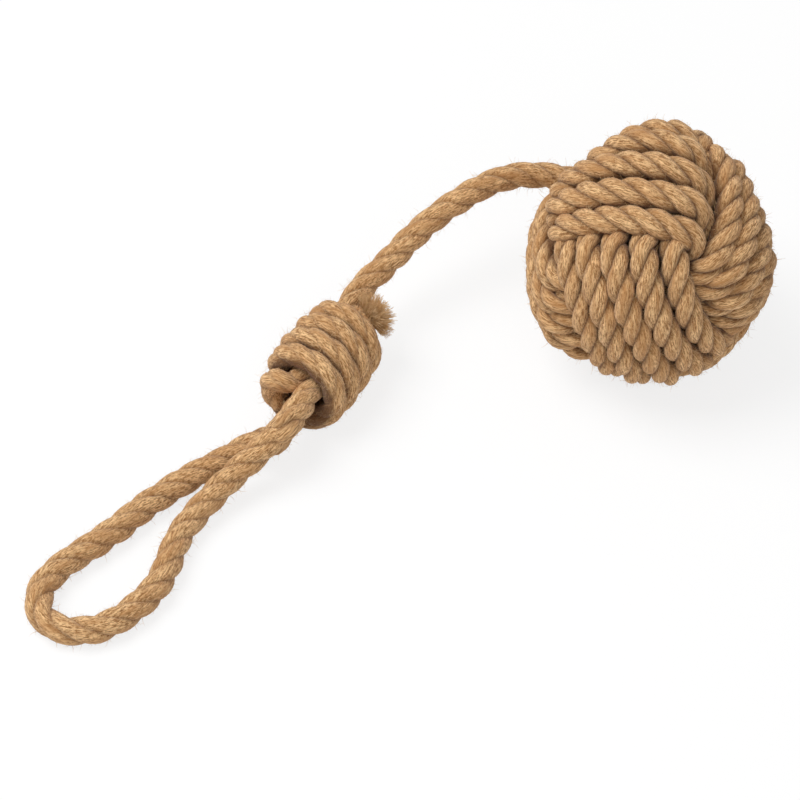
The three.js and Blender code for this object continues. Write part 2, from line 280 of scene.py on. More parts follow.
# %% [markdown]
# ## Noose knot
# The knot is a multiple overhand. The standing rope runs straight through. The loop's other leg runs
# through beside it, turns back at the ball's side as the wraps, turns in again at the loop's side, and
# comes out beside the throwing rope as the cut tail. It is written in the knot's own axes: a place
# along the knot, an angle round it and a distance from its middle.

# %% Sizes of the knot
KNOT_PLACE = np.array([-96.8, 72.8, 16.7])  # the knot's middle
KNOT_YAW = np.radians(10.7)
HALF_WRAPS = 16.5  # from the knot's middle to its last wrap
HALF_KNOT = 31.9  # and to where the ropes that come out of it are free
WRAP_TURNS = 5
WRAP_RADIUS = 4.35
WRAP_SLACK = 1.9
WRAP_DISTANCE = 13.6  # middle of the wraps from the knot's middle, where it is thickest
WRAP_DRAWN_IN = (2.4, 1.6)  # how much closer the wraps get at the ball's side and at the loop's
WRAP_SHADE = 1.25  # over 1 makes the hollows between the wraps darker than those of the ball
WRAP_SAMPLES = 700
BURIED_RADIUS = 3.8
BURIED_DISTANCE = 4.7
BURIED_SPREAD = 1.5  # how much further apart the ropes are where they come out
BURIED_TWIST = -143  # degrees that the two legs turn about each other, from the ball's side to the loop's
BURIED_SAMPLES = 80
SWELL_START = 7  # how far inside the last wrap a buried rope starts to get thicker
SWELL_LENGTH = 12
STANDING_ANGLE, TAIL_ANGLE, LEG_ANGLE = 50, 170, 290  # degrees round the knot at the ball's side
BEND_ANGLE = 105  # degrees that a rope goes round the knot while it turns back
BEND_BULGE = 2.5
BULGE_SCALE = 27 / 4  # makes the most of s * (1 - s)**2 one
BEND_SAMPLES = 40
TAIL_TWIST = -115  # degrees that the tail turns about the legs
TAIL_ROUTE = [(16.5, -4.63, 0.82), (20.5, -4.2, 2.3), (23, -4.5, 3.7), (24.8, -5.8, 4.8)]
TAIL_FLARE = 1.6  # how much thicker the tail is at its end
TAIL_LAY = 45.0
TAIL_SLACK = 1.6
print("knot with", WRAP_TURNS, "wraps,", round(2 * (WRAP_DISTANCE + WRAP_RADIUS), 1), "mm across")


# %% Helpers for the knot
def from_knot(local):
    """Places in the knot's own axes, put where the knot is."""
    return turned(local, KNOT_YAW) + KNOT_PLACE


def in_knot(along, degrees, distance):
    angle = np.radians(degrees)
    return from_knot(np.column_stack([along, distance * np.cos(angle), distance * np.sin(angle)]))


def buried_run(start, end, ball_side_angle, twist=BURIED_TWIST):
    """A rope that runs through the knot inside the wraps, and comes free past them."""
    along = np.linspace(start, end, BURIED_SAMPLES)
    past = np.clip((np.abs(along) - HALF_WRAPS) / (HALF_KNOT - HALF_WRAPS), 0, 1)
    free = past * past * (3 - 2 * past)
    thicker = np.clip((np.abs(along) - HALF_WRAPS + SWELL_START) / SWELL_LENGTH, 0, 1)
    angle = ball_side_angle + twist * smooth(-along / HALF_WRAPS)
    points = in_knot(along, angle, BURIED_DISTANCE + BURIED_SPREAD * free)
    return stretch(points, BURIED_RADIUS + (ROPE_RADIUS - BURIED_RADIUS) * thicker, LAY_WOUND, free)


def wrap_distance(share):
    """The wraps get closer to the middle at both ends, and more so at the ball's side."""
    at_ball, at_loop = WRAP_DRAWN_IN
    return WRAP_DISTANCE - at_ball * (1 - share) ** 3 - at_loop * share**3


def end_bend(end, buried_angle, turning):
    """From a buried rope out to a wrap, over the end of the knot."""
    share = np.linspace(0, 1, BEND_SAMPLES)
    along = end * (HALF_WRAPS + BULGE_SCALE * BEND_BULGE * share * (1 - share) ** 2)
    rise = np.sin(share * np.pi / 2)
    distance = BURIED_DISTANCE + (wrap_distance(0.5 - 0.5 * end) - BURIED_DISTANCE) * rise
    points = in_knot(along, buried_angle + turning * BEND_ANGLE * share**2, distance)
    radius = BURIED_RADIUS + (WRAP_RADIUS - BURIED_RADIUS) * rise
    return stretch(points, radius, LAY_WOUND, rise, WRAP_SLACK)


print("the last wraps lie", wrap_distance(0), "and", wrap_distance(1), "mm from the knot's middle")


# %% Parts of the knot
def wraps():
    """The wraps, from the ball's side to the loop's."""
    share = np.linspace(0, 1, WRAP_SAMPLES)
    first = LEG_ANGLE + BEND_ANGLE
    last = TAIL_ANGLE + TAIL_TWIST - BEND_ANGLE + WRAP_TURNS * 360
    angle = first + (last - first) * share
    along = HALF_WRAPS * (1 - 2 * share)
    # The way out is longer than one here, which paints the shade between the wraps darker.
    outward = in_knot(along, angle, WRAP_SHADE) - in_knot(along, angle, 0)
    points = in_knot(along, angle, wrap_distance(share))
    return stretch(points, WRAP_RADIUS, LAY_WOUND, 1, WRAP_SLACK, outward)


def tail():
    """The last of the rope, past the knot, where it starts to come apart."""
    points = through(from_knot(np.array(TAIL_ROUTE)))
    flare = TAIL_FLARE * np.linspace(0, 1, len(points)) ** 2
    return stretch(points, BURIED_RADIUS + flare, TAIL_LAY, 1, TAIL_SLACK)


knot_standing = buried_run(HALF_KNOT, -HALF_KNOT, STANDING_ANGLE)
knot_wraps = [
    buried_run(-HALF_KNOT, HALF_WRAPS, LEG_ANGLE),
    end_bend(1, LEG_ANGLE, 1),
    wraps(),
    end_bend(-1, TAIL_ANGLE + TAIL_TWIST, -1)[::-1],
    buried_run(-HALF_WRAPS, HALF_WRAPS, TAIL_ANGLE, TAIL_TWIST),
    tail(),
]
print("rope in the knot", sum(len(part) for part in knot_wraps) + len(knot_standing), "rows")

# %% [markdown]
# ## Free rope
# The throwing rope leaves the back of the fist, rises over its shoulder and comes down to the knot. The
# hand loop lies on the floor with its two legs side by side. Both are smooth curves through points
# along the CAD routes, with their ends taken from the fist and the knot so that one rope runs through
# everything.

# %% Throwing rope and hand loop
THROW_ROUTE = [
    (17.4, 30.2, 21.4), (22.6, 34.8, 25.6), (24.9, 40.2, 30.4), (23.8, 46.8, 33.4), (20.3, 53.2, 35),
    (16.6, 58.8, 35.8), (11.5, 64.4, 36.6), (5.7, 68.5, 37.2), (-1.6, 71.8, 37.4), (-10.8, 75.3, 35.8),
    (-21.9, 79, 32.8), (-33.7, 81.5, 29), (-47.5, 82.4, 25.4),
]
LOOP_ROUTE = [
    (-132.5, 70.6, 8.4), (-138, 73.6, 6.6), (-145.4, 76.4, 5.4), (-157.4, 80.3, 4.8), (-166.8, 82.1, 4.7),
    (-176.6, 83.6, 4.7), (-184, 84.2, 4.7), (-193, 84.4, 4.7), (-203, 85.6, 4.7), (-214, 87.2, 4.7),
    (-223.5, 87.4, 4.7), (-231.8, 84.8, 4.7), (-237.4, 79, 4.7), (-238.8, 71, 4.7), (-235.3, 63.6, 4.7),
    (-229.5, 58.8, 4.7), (-222.5, 56.4, 4.7), (-214, 55.6, 4.7), (-205.5, 56.2, 4.7), (-197.5, 58.6, 4.7),
    (-190.5, 62, 4.7), (-183, 65.3, 4.7), (-174.2, 67.1, 5.2), (-163.6, 67.5, 6.9), (-152, 66.4, 10.2),
    (-141.2, 63.9, 14.5), (-133.5, 62.6, 17.8),
]
LEAD_ROWS = 4  # rows of the neighbour that set the direction at an end


def free_rope(before, route, after):
    """A curve from the last row before it to the first row after it, in line with both."""
    first, last = before[-1, PLACE], after[0, PLACE]
    lead_in = first - (before[-1 - LEAD_ROWS, PLACE] - first)
    lead_out = last - (after[LEAD_ROWS, PLACE] - last)
    return through([first, lead_in, *route, lead_out, last])


throw_points = free_rope(fist_third, THROW_ROUTE, knot_standing)
loop_points = free_rope(knot_standing, LOOP_ROUTE, knot_wraps[0])
for name, points in (("throwing rope", throw_points), ("hand loop", loop_points)):
    print(name, round(steps_along(points).sum()), "mm")

# %% [markdown]
# ## One rope from end to end
# The strands of a laid rope wind on without a break, through the knot and round the loop. So the
# stretches are joined into one long rope before the strands are made, and the twist is counted along
# all of it. The first two bands of the fist have their ends hidden in the ball, so they can be ropes of
# their own. The long rope is then cut where the joints of the toy need separate pieces, and two pieces
# share the row at a cut, so no gap can open there.

# %% Helpers for one long rope
LEG_END = -145.0  # where a leg of the hand loop ends and the hand loop itself starts, along x
STEEP = 0.9  # a heading that rises more than this is crossed with x instead of z


def half_way(points):
    """The number of the point in the middle of the way."""
    length = np.cumsum(steps_along(points))
    return int(np.searchsorted(length, length[-1] / 2))


def join(parts):
    """The rows of all parts in one array, and the first and last row of each part."""
    rows = np.vstack([parts[0], *(part[1:] for part in parts[1:])])
    ends = np.cumsum([len(part) - 1 for part in parts])
    return rows, list(zip([0, *ends[:-1]], ends))


def carried_side(heading):
    """A direction across the rope that never spins about it, for every row."""
    side = np.cross(heading[0], Z if abs(heading[0, 2]) < STEEP else X)
    sides = []
    for ahead in heading:
        side = side - ahead * (side @ ahead)
        side = side / np.linalg.norm(side)
        sides.append(side)
    return np.array(sides)


def rope_line(rows):
    """The finished line of a rope, with its places and thickness in metres."""
    points = rows[:, PLACE]
    heading = unit(np.gradient(points, axis=0))
    steps = steps_along(points)
    return {
        "points": points * MM,
        "heading": heading,
        "side": carried_side(heading),
        "thick": rows[:, RADIUS] * MM,
        "along": np.cumsum(steps),
        "twist": np.cumsum(steps * rows[:, TWIST]),
        "open": rows[:, OPEN],
        "slack": rows[:, SLACK],
        "outward": rows[:, OUTWARD],
    }


print("the loop's legs end at x", LEG_END, "mm")

# %% Join the stretches
throw_cut = half_way(throw_points)
loop_cuts = np.flatnonzero(loop_points[:, 0] < LEG_END)
wraps_rows, _ = join(knot_wraps)
long_parts = {
    "ball_rope_third": fist_third,
    "throw_rope_near": stretch(throw_points[: throw_cut + 1]),
    "throw_rope_far": stretch(throw_points[throw_cut:]),
    "knot_standing": knot_standing,
    "loop_leg_near": stretch(loop_points[: loop_cuts[0] + 1]),
    "hand_loop": stretch(loop_points[loop_cuts[0] : loop_cuts[-1] + 1]),
    "loop_leg_far": stretch(loop_points[loop_cuts[-1] :]),
    "knot_wraps_and_tail": wraps_rows,
}
long_rows, long_spans = join(list(long_parts.values()))
long_line = rope_line(long_rows)
lines = {
    name: {key: values[first : last + 1] for key, values in long_line.items()}
    for name, (first, last) in zip(long_parts, long_spans)
}
lines["ball_rope_first"] = rope_line(fist_first)
lines["ball_rope_second"] = rope_line(fist_second)
print("rope in all", round(sum(np.ptp(line["along"]) for line in lines.values()) * MM, 2), "m")


# %% [markdown]
# ## Writing nodes as Python
# Trees of nodes read best as formulas. This small class holds one socket. Sums and products of sockets
# add Math nodes by themselves, and any other node comes from one method: its type, its settings, and
# what goes into its sockets.

# %% A socket that can be calculated with
class Wire:
    def __init__(self, tree, socket=None):
        self.tree = tree
        self.socket = socket

    def node(self, kind, settings=None, sockets=None, output=0):
        made = self.tree.nodes.new(kind)
        for name, value in (settings or {}).items():
            setattr(made, name, value)
        for key, value in (sockets or {}).items():
            for each in value if isinstance(value, list) else [value]:
                if isinstance(each, Wire):
                    self.tree.links.new(each.socket, made.inputs[key])
                else:
                    made.inputs[key].default_value = each
        return Wire(self.tree, made.outputs[output])

    def other(self, output):
        return Wire(self.tree, self.socket.node.outputs[output])

    def math(self, operation, *values):
        return self.node("ShaderNodeMath", {"operation": operation}, dict(enumerate(values)))

    def vector(self, operation, sockets, output=0):
        return self.node("ShaderNodeVectorMath", {"operation": operation}, sockets, output)

    def __add__(self, value):
        return self.math("ADD", self, value)

    def __sub__(self, value):
        return self.math("SUBTRACT", self, value)

    def __rsub__(self, value):
        return self.math("SUBTRACT", value, self)

    def __mul__(self, value):
        return self.math("MULTIPLY", self, value)

    def __truediv__(self, value):
        return self.math("DIVIDE", self, value)

    def __gt__(self, value):
        return self.math("GREATER_THAN", self, value)

    __radd__ = __add__
    __rmul__ = __mul__


print("sockets can be added, multiplied and compared")


# %% [markdown]
# ## Trees that make meshes
# A tree of geometry nodes has named inputs for its sizes, so one tree serves many pieces. The export
# takes no instances and no live modifiers. So every tree ends by making its instances real, and once it
# has run on an object, the object keeps the result as its plain mesh.

# %% Begin, end and run a tree
def geometry_tree(name, inputs):
    """An empty tree with one geometry going out, and its inputs as wires."""
    tree = bpy.data.node_groups.new(name, "GeometryNodeTree")
    tree.interface.new_socket("Geometry", in_out="OUTPUT", socket_type="NodeSocketGeometry")
    for label, kind in inputs.items():
        tree.interface.new_socket(label, in_out="INPUT", socket_type="NodeSocket" + kind)
    entry = tree.nodes.new("NodeGroupInput")
    return tree, {label: Wire(tree, entry.outputs[label]) for label in inputs}


def end_tree(geometry, material):
    """Realize Instances and Set Material close every tree."""
    geometry = geometry.node("GeometryNodeRealizeInstances", {}, {"Geometry": geometry})
    geometry = geometry.node("GeometryNodeSetMaterial", {}, {"Geometry": geometry, "Material": material})
    leave = geometry.tree.nodes.new("NodeGroupOutput")
    geometry.tree.links.new(geometry.socket, leave.inputs[0])


def grow(obj, tree, values):
    """Runs the tree on the object and keeps the result as its plain mesh."""
    modifier = obj.modifiers.new(tree.name, "NODES")
    modifier.node_group = tree
    for item in tree.interface.items_tree:
        if item.in_out == "INPUT" and item.name in values:
            modifier[item.identifier] = values[item.name]
    depsgraph = bpy.context.evaluated_depsgraph_get()
    mesh = bpy.data.meshes.new_from_object(
        obj.evaluated_get(depsgraph), preserve_all_data_layers=True, depsgraph=depsgraph
    )
    obj.modifiers.remove(modifier)
    mesh.name = obj.name
    obj.data = mesh
    return obj


print("trees can be made and run")


# %% Attributes of a mesh
def attribute(wire, name, kind="FLOAT"):
    """The value that every point has under a name."""
    return wire.node("GeometryNodeInputNamedAttribute", {"data_type": kind}, {"Name": name})


def store(geometry, name, value, kind="FLOAT"):
    """The geometry with a value kept on every point under a name."""
    sockets = {"Geometry": geometry, "Name": name, "Value": value}
    return geometry.node("GeometryNodeStoreNamedAttribute", {"data_type": kind, "domain": "POINT"}, sockets)


def above_floor(wire):
    """Every point's place, raised to the floor where it would be below it."""
    place = wire.node("ShaderNodeSeparateXYZ", {}, {0: wire.node("GeometryNodeInputPosition")})
    height = wire.math("MAXIMUM", place.other("Z"), 0.0)
    return wire.node("ShaderNodeCombineXYZ", {}, {"X": place, "Y": place.other("Y"), "Z": height})


print("points can keep values and stay above the floor")

# %% [markdown]
# ## Jute
# Jute is a coarse bast fibre. Its strands are tan, with fine darker and paler streaks that run with the
# fibres, and they are painted browner down in the grooves and in the hollows between turns, as painted
# shade. Every strand carries an attribute called grain, which is a place across and along its own fibres
# in millimetres. Noise that is stretched along the grain gives the streaks, and the same noise raises the
# surface, so colour and relief agree.

# %% Helpers for materials
DRY_SPECULAR = 0.2
NOISE_ROUGHNESS = 0.6
NOISE_MIDDLE = 0.5


def linear(red, green, blue):
    """A colour as read from a screen, 0 to 255, in the linear numbers that a shader takes."""
    shares = [value / 255 for value in (red, green, blue)]
    return (*(s / 12.92 if s <= 0.04045 else ((s + 0.055) / 1.055) ** 2.4 for s in shares), 1)


def new_material(name, roughness):
    material = bpy.data.materials.new(name)
    material.use_nodes = True
    shader = material.node_tree.nodes["Principled BSDF"]
    shader.inputs["Roughness"].default_value = roughness
    shader.inputs["Specular IOR Level"].default_value = DRY_SPECULAR
    return material, shader, Wire(material.node_tree)


def stretched_noise(vector, scale, detail):
    place = vector.node("ShaderNodeMapping", {}, {"Vector": vector, "Scale": scale})
    sockets = {"Vector": place, "Scale": 1, "Detail": detail, "Roughness": NOISE_ROUGHNESS}
    return vector.node("ShaderNodeTexNoise", {}, sockets)


def about_zero(noise, strength):
    """Noise, which lies about its middle, moved to zero and stretched."""
    return (noise - NOISE_MIDDLE) * strength


def mixed(factor, first, second):
    """A colour that goes from the first to the second while the factor goes from 0 to 1."""
    settings = {"data_type": "RGBA", "clamp_factor": True}
    return factor.node("ShaderNodeMix", settings, {0: factor, 6: first, 7: second}, 2)


print("colours run from", linear(0, 0, 0), "to", linear(255, 255, 255))

# %% Jute material
JUTE_ROUGHNESS = 0.9
JUTE_SHEEN = 0.15
SHEEN_ROUGHNESS = 0.5
# How fine each noise is, twice across the grain and once along it.
HAIR_SCALE = (2.8, 2.8, 0.7)
YARN_SCALE = (0.8, 0.8, 0.12)
PATCH_SCALE = (0.16, 0.16, 0.05)
HAIR_DETAIL = 5
YARN_DETAIL = 2
HAIR_CONTRAST = 6.5
YARN_CONTRAST = 2.2
PATCH_CONTRAST = 1.4
DARK_CONTRAST = 6
YARN_SHARE = 0.3  # how much of the yarn's colour shows on average
DARK_BELOW = 0.42  # noise under this is a dark hair
# Painted shade: how strongly the jute is painted browner in the grooves and hollows, where shade falls.
GROOVE_SHADE_STRENGTH = 0.9
GROOVE_SHADE_MOST = 0.85
RELIEF_STRENGTH = 0.8
RELIEF_HEIGHT = 0.9 * MM
YARN_RELIEF = 0.6
HAIR_TAN, HAIR_PALE = linear(162, 116, 70), linear(243, 201, 148)
YARN_TAN = linear(186, 135, 84)
HAIR_BROWN = linear(122, 80, 44)
# The colour of the painted shade in the grooves and hollows.
GROOVE_SHADE_BROWN = linear(98, 62, 32)

jute, jute_shader, start = new_material("jute", JUTE_ROUGHNESS)
jute_shader.inputs["Sheen Weight"].default_value = JUTE_SHEEN
jute_shader.inputs["Sheen Roughness"].default_value = SHEEN_ROUGHNESS
grain = start.node("ShaderNodeAttribute", {"attribute_name": "grain"}, output="Vector")
# The attribute that says where the jute is painted darker as shade.
groove = start.node("ShaderNodeAttribute", {"attribute_name": "groove"}, output="Fac")
hairs = stretched_noise(grain, HAIR_SCALE, HAIR_DETAIL)
yarns = stretched_noise(grain, YARN_SCALE, YARN_DETAIL)
patches = stretched_noise(grain, PATCH_SCALE, YARN_DETAIL)
tan = mixed(about_zero(hairs, HAIR_CONTRAST) + 0.5, HAIR_TAN, HAIR_PALE)
yarn_share = about_zero(yarns, YARN_CONTRAST) + about_zero(patches, PATCH_CONTRAST) + YARN_SHARE
tan = mixed(yarn_share, tan, YARN_TAN)
tan = mixed((DARK_BELOW - hairs) * DARK_CONTRAST, tan, HAIR_BROWN)
# Painted shade in the grooves and hollows, mixed over the jute's own colour.
tan = mixed(start.math("MINIMUM", groove * GROOVE_SHADE_STRENGTH, GROOVE_SHADE_MOST), tan, GROOVE_SHADE_BROWN)
jute.node_tree.links.new(tan.socket, jute_shader.inputs["Base Color"])
height = hairs + yarns * YARN_RELIEF
bump = {"Strength": RELIEF_STRENGTH, "Distance": RELIEF_HEIGHT, "Height": height}
relief = start.node("ShaderNodeBump", {}, bump)
jute.node_tree.links.new(relief.socket, jute_shader.inputs["Normal"])
print("jute material with", len(jute.node_tree.nodes), "nodes")

# %% [markdown]
# ## Laid rope
# A three-strand rope is three round strands that wind about each other to the right. Each strand's line
# is the rope's line, moved outwards by half the rope's radius in a direction that turns with the twist.
# A strand is then a tube on that line, a little wider than deep, because the three press against each
# other. A tree of geometry nodes does this from the line's attributes, so one rule makes the ball, the
# knot and the free rope alike.

# %% Inputs of the rope's tree
rope_inputs = {
    "Line": "Geometry",
    "Strand offset": "Float",
    "Strand depth": "Float",
    "Strand width": "Float",
    "Fullness": "Float",
    "Sides": "Int",
    "Unevenness": "Float",
    "Yarn turn": "Float",
    "Seed": "Int",
    "Material": "Material",
}
rope_tree, given = geometry_tree("laid_rope", rope_inputs)
start = given["Line"]
position = start.node("GeometryNodeInputPosition")
thick = attribute(start, "path_thick")
along = attribute(start, "path_along")
fuller = attribute(start, "path_slack") * given["Fullness"]
middle_line = store(start, "path_middle", position, "FLOAT_VECTOR")
profile = start.node("GeometryNodeCurvePrimitiveCircle", {}, {"Resolution": given["Sides"], "Radius": 1.0})
profile = store(profile, "path_round", position, "FLOAT_VECTOR")
oval_sides = {"X": given["Strand depth"], "Y": given["Strand width"], "Z": 1.0}
oval = start.node("ShaderNodeCombineXYZ", {}, oval_sides)
profile = start.node("GeometryNodeTransform", {}, {"Geometry": profile, "Scale": oval})
print("laid_rope takes", ", ".join(rope_inputs))

# %% Three strands
STRANDS = 3
LUMP_RATE = 0.12  # lumps per mm of rope
LUMP_GAP = 17  # from one strand's lumps to the next one's in the noise
GRAIN_SCALE = (2.4, 2.4, 0)  # mm from a strand's middle to its surface
GRAIN_GAP = 1000.0  # mm from one strand's grain to the next one's


def strand_tube(index):
    """A tube on the strand's own line, which winds round the rope's middle."""
    rotation = {
        "Vector": attribute(start, "path_side", "FLOAT_VECTOR"),
        "Axis": attribute(start, "path_heading", "FLOAT_VECTOR"),
        "Angle": attribute(start, "path_twist") + index * 2 * np.pi / STRANDS,
    }
    outward = start.node("ShaderNodeVectorRotate", {"rotation_type": "AXIS_ANGLE"}, rotation)
    offset = thick * given["Strand offset"] * (1 - fuller)
    shift = start.vector("SCALE", {0: outward, "Scale": offset})
    lump_place = along * LUMP_RATE + given["Seed"] + LUMP_GAP * index
    lumps = start.node("ShaderNodeTexNoise", {"noise_dimensions": "1D"}, {"W": lump_place, "Scale": 1.0})
    curve = start.node("GeometryNodeMeshToCurve", {}, {"Mesh": middle_line})
    curve = start.node("GeometryNodeSetPosition", {}, {"Geometry": curve, "Offset": shift})
    curve = start.node("GeometryNodeSetCurveNormal", {"mode": "FREE"}, {"Curve": curve, "Normal": outward})
    size = thick * (fuller + 1) * (about_zero(lumps, given["Unevenness"]) + 1)
    tube = {"Curve": curve, "Profile Curve": profile, "Scale": size, "Fill Caps": True}
    return start.node("GeometryNodeCurveToMesh", {}, tube)


def with_grain(strand, index):
    """The strand with its grain, which winds round it as its yarns do."""
    rotation = {
        "Vector": attribute(start, "path_round", "FLOAT_VECTOR"),
        "Angle": along * given["Yarn turn"],
    }
    spun = start.node("ShaderNodeVectorRotate", {"rotation_type": "Z_AXIS"}, rotation)
    on_strand = start.node("ShaderNodeCombineXYZ", {}, {"Z": along + GRAIN_GAP * index})
    fibre_place = start.vector("MULTIPLY_ADD", {0: spun, 1: GRAIN_SCALE, 2: on_strand})
    return store(strand, "grain", fibre_place, "FLOAT_VECTOR")


strands = [with_grain(strand_tube(index), index) for index in range(STRANDS)]
rope = start.node("GeometryNodeJoinGeometry", {}, {"Geometry": strands})
rope = start.node("GeometryNodeSetPosition", {}, {"Geometry": rope, "Position": above_floor(start)})
print(len(strands), "strands joined")

# %% [markdown]
# ## Painted shade in the grooves, and fuzz
# Two more attributes tell the jute and its fibres where they are. The painted groove shade is high
# between two strands, which is close to the rope's middle, and in the hollow between two turns of a
# winding, where the surface doesn't reach far on the way out; the jute is painted browner there as
# shade. The fuzz attribute is one only on the outside of open rope, so no fibres grow where nobody can
# see them.

# %% Painted shade in the grooves, and fuzz
# The next four numbers set where the jute is painted darker as shade, between strands and between turns.
GROOVE_SHADE_EDGE = 0.62  # distance from the rope's middle, in radii, up to which a groove is at its darkest
GROOVE_SHADE_SLOPE = 3.2
HOLLOW_SHADE_EDGE = 0.5  # height over the rope's middle, in radii, at which a hollow starts
HOLLOW_SHADE_SLOPE = 1.8
FUZZ_OPEN = 0.75  # how open a rope has to lie to get fibres
FUZZ_REACH = 0.78  # and how far from its middle they start, in radii

from_middle = start.vector("SUBTRACT", {0: position, 1: attribute(start, "path_middle", "FLOAT_VECTOR")})
outward = attribute(start, "path_outward", "FLOAT_VECTOR")
reach = start.vector("LENGTH", {0: from_middle}, "Value") / thick
lift = start.vector("DOT_PRODUCT", {0: from_middle, 1: outward}, "Value") / thick
free = 1 - start.vector("LENGTH", {0: outward}, "Value")
# Painted shade: high between the strands and in the hollows between the turns of a winding.
shade_between_strands = 1 - (reach - GROOVE_SHADE_EDGE) * GROOVE_SHADE_SLOPE
shade_between_turns = (HOLLOW_SHADE_EDGE - lift - free) * HOLLOW_SHADE_SLOPE
rope = store(rope, "groove", start.math("MAXIMUM", shade_between_strands, shade_between_turns))
rope = store(rope, "fuzz", (attribute(start, "path_open") > FUZZ_OPEN) * (reach > FUZZ_REACH))
leftovers = {"Geometry": rope, "Name": "path_*"}
rope = start.node("GeometryNodeRemoveAttribute", {"pattern_mode": "WILDCARD"}, leftovers)
rope = start.node("GeometryNodeSetShadeSmooth", {}, {"Geometry": rope})
end_tree(rope, given["Material"])
print("laid_rope tree with", len(rope_tree.nodes), "nodes")

# %% Lay every piece of rope
rope_sizes = {
    "Strand offset": 0.52,
    "Strand depth": 0.49,
    "Strand width": 0.51,
    "Fullness": 0.2,
    "Sides": 18,
    "Unevenness": 0.25,
    "Yarn turn": 0.30,
    "Seed": 3,
    "Material": jute,
}


def line_object(name, line):
    """An object whose mesh is the line alone, with the rest of the line's numbers as attributes."""
    points = line["points"]
    mesh = bpy.data.meshes.new(name)
    mesh.from_pydata(points.tolist(), [(i, i + 1) for i in range(len(points) - 1)], [])
    for key in ("heading", "side", "thick", "along", "twist", "open", "slack", "outward"):
        is_vector = line[key].ndim == 2
        kind = "FLOAT_VECTOR" if is_vector else "FLOAT"
        data = mesh.attributes.new("path_" + key, kind, "POINT").data
        data.foreach_set("vector" if is_vector else "value", line[key].astype(np.float32).ravel())
    obj = bpy.data.objects.new(name, mesh)
    scene.collection.objects.link(obj)
    return obj


ropes = {name: grow(line_object(name, line), rope_tree, rope_sizes) for name, line in lines.items()}
for name, obj in ropes.items():
    print(name, len(obj.data.polygons), "faces")

# %% [markdown]
# ## Stray fibres
# Jute is hairy. Short pale fibres stand off the strands everywhere and soften every outline. A particle
# system would be lost in the export, so a second tree scatters points over the open side of the strands
# and puts one of three thin bent fibres on each, at a random turn, lean and length.

# %% Three kinds of fibre
FIBRE_SIDES = 3
FIBRE_POINTS = 3
FIBRE_TAPER = 0.75  # share of its thickness that a fibre loses towards its end
ARC_RESOLUTION = 4
FIBRE_ENDS = [  # the middle and the end of each kind's bend, for a fibre of length 1
    ((0.3, 0, 0.35), (0.8, 0.1, 0.45)),
    ((0.1, 0, 0.5), (0.5, 0.3, 0.7)),
    ((0.5, 0, 0.25), (0.9, -0.3, 0.35)),
]
fibre_inputs = {
    "Rope": "Geometry",
    "Density": "Float",
    "Length": "Float",
    "Thickness": "Float",
    "Lean": "Float",
    "Longest": "Float",
    "Bend": "Float",
    "Seed": "Int",
    "Material": "Material",
}
fibre_tree, given = geometry_tree("stray_fibres", fibre_inputs)
start = given["Rope"]
taper = 1 - start.node("GeometryNodeSplineParameter") * FIBRE_TAPER
section_sizes = {"Resolution": FIBRE_SIDES, "Radius": given["Thickness"] / given["Length"]}
section = start.node("GeometryNodeCurvePrimitiveCircle", {}, section_sizes)
shape_sides = {"X": given["Bend"], "Y": given["Bend"], "Z": 2 - given["Bend"]}
shape = start.node("ShaderNodeCombineXYZ", {}, shape_sides)
fibres = []
for middle, end in FIBRE_ENDS:
    arc = {"Resolution": ARC_RESOLUTION, "Start": (0, 0, 0), "Middle": middle, "End": end}
    bend = start.node("GeometryNodeCurveQuadraticBezier", {}, arc)
    resampled = {"Curve": bend, "Count": FIBRE_POINTS}
    bend = start.node("GeometryNodeResampleCurve", {"mode": "COUNT"}, resampled)
    bend = start.node("GeometryNodeTransform", {}, {"Geometry": bend, "Scale": shape})
    tube = {"Curve": bend, "Profile Curve": section, "Scale": taper, "Fill Caps": True}
    fibres.append(start.node("GeometryNodeCurveToMesh", {}, tube))
fibre_kinds = start.node("GeometryNodeGeometryToInstance", {}, {"Geometry": fibres})
print(len(fibres), "kinds of fibre")

# %% Scatter the fibres
FIBRE_SPIN = 3.14  # radians each way that a fibre may be turned about its root
FIBRE_SHORTEST = 0.4  # share of the given length
FIBRE_RARITY = 5.0  # the higher, the fewer of the fibres are long

density = given["Density"] * attribute(start, "fuzz")
root_sockets = {"Mesh": start, "Density": density, "Seed": given["Seed"]}
roots = start.node("GeometryNodeDistributePointsOnFaces", {"distribute_method": "RANDOM"}, root_sockets)
lean = start.node("ShaderNodeCombineXYZ", {}, {"X": given["Lean"], "Y": given["Lean"], "Z": FIBRE_SPIN})
less = start.vector("SCALE", {0: lean, "Scale": -1.0})
turn_range = {0: less, 1: lean, "Seed": given["Seed"]}
turn = start.node("FunctionNodeRandomValue", {"data_type": "FLOAT_VECTOR"}, turn_range)
turn = start.node("FunctionNodeEulerToRotation", {}, {"Euler": turn})
turned_root = {"Rotation": roots.other("Rotation"), "Rotate By": turn}
stand = start.node("FunctionNodeRotateRotation", {"rotation_space": "LOCAL"}, turned_root)
chance = start.node("FunctionNodeRandomValue", {"data_type": "FLOAT"}, {"Seed": given["Seed"]}, 1)
length = start.math("POWER", chance, FIBRE_RARITY) * given["Longest"] + FIBRE_SHORTEST
planted = {
    "Points": roots,
    "Instance": fibre_kinds,
    "Pick Instance": True,
    "Rotation": stand,
    "Scale": length * given["Length"],
}
hair = start.node("GeometryNodeInstanceOnPoints", {}, planted)
hair = start.node("GeometryNodeRealizeInstances", {}, {"Geometry": hair})
hair = start.node("GeometryNodeSetPosition", {}, {"Geometry": hair, "Position": above_floor(start)})
end_tree(hair, given["Material"])
print("stray_fibres tree with", len(fibre_tree.nodes), "nodes")

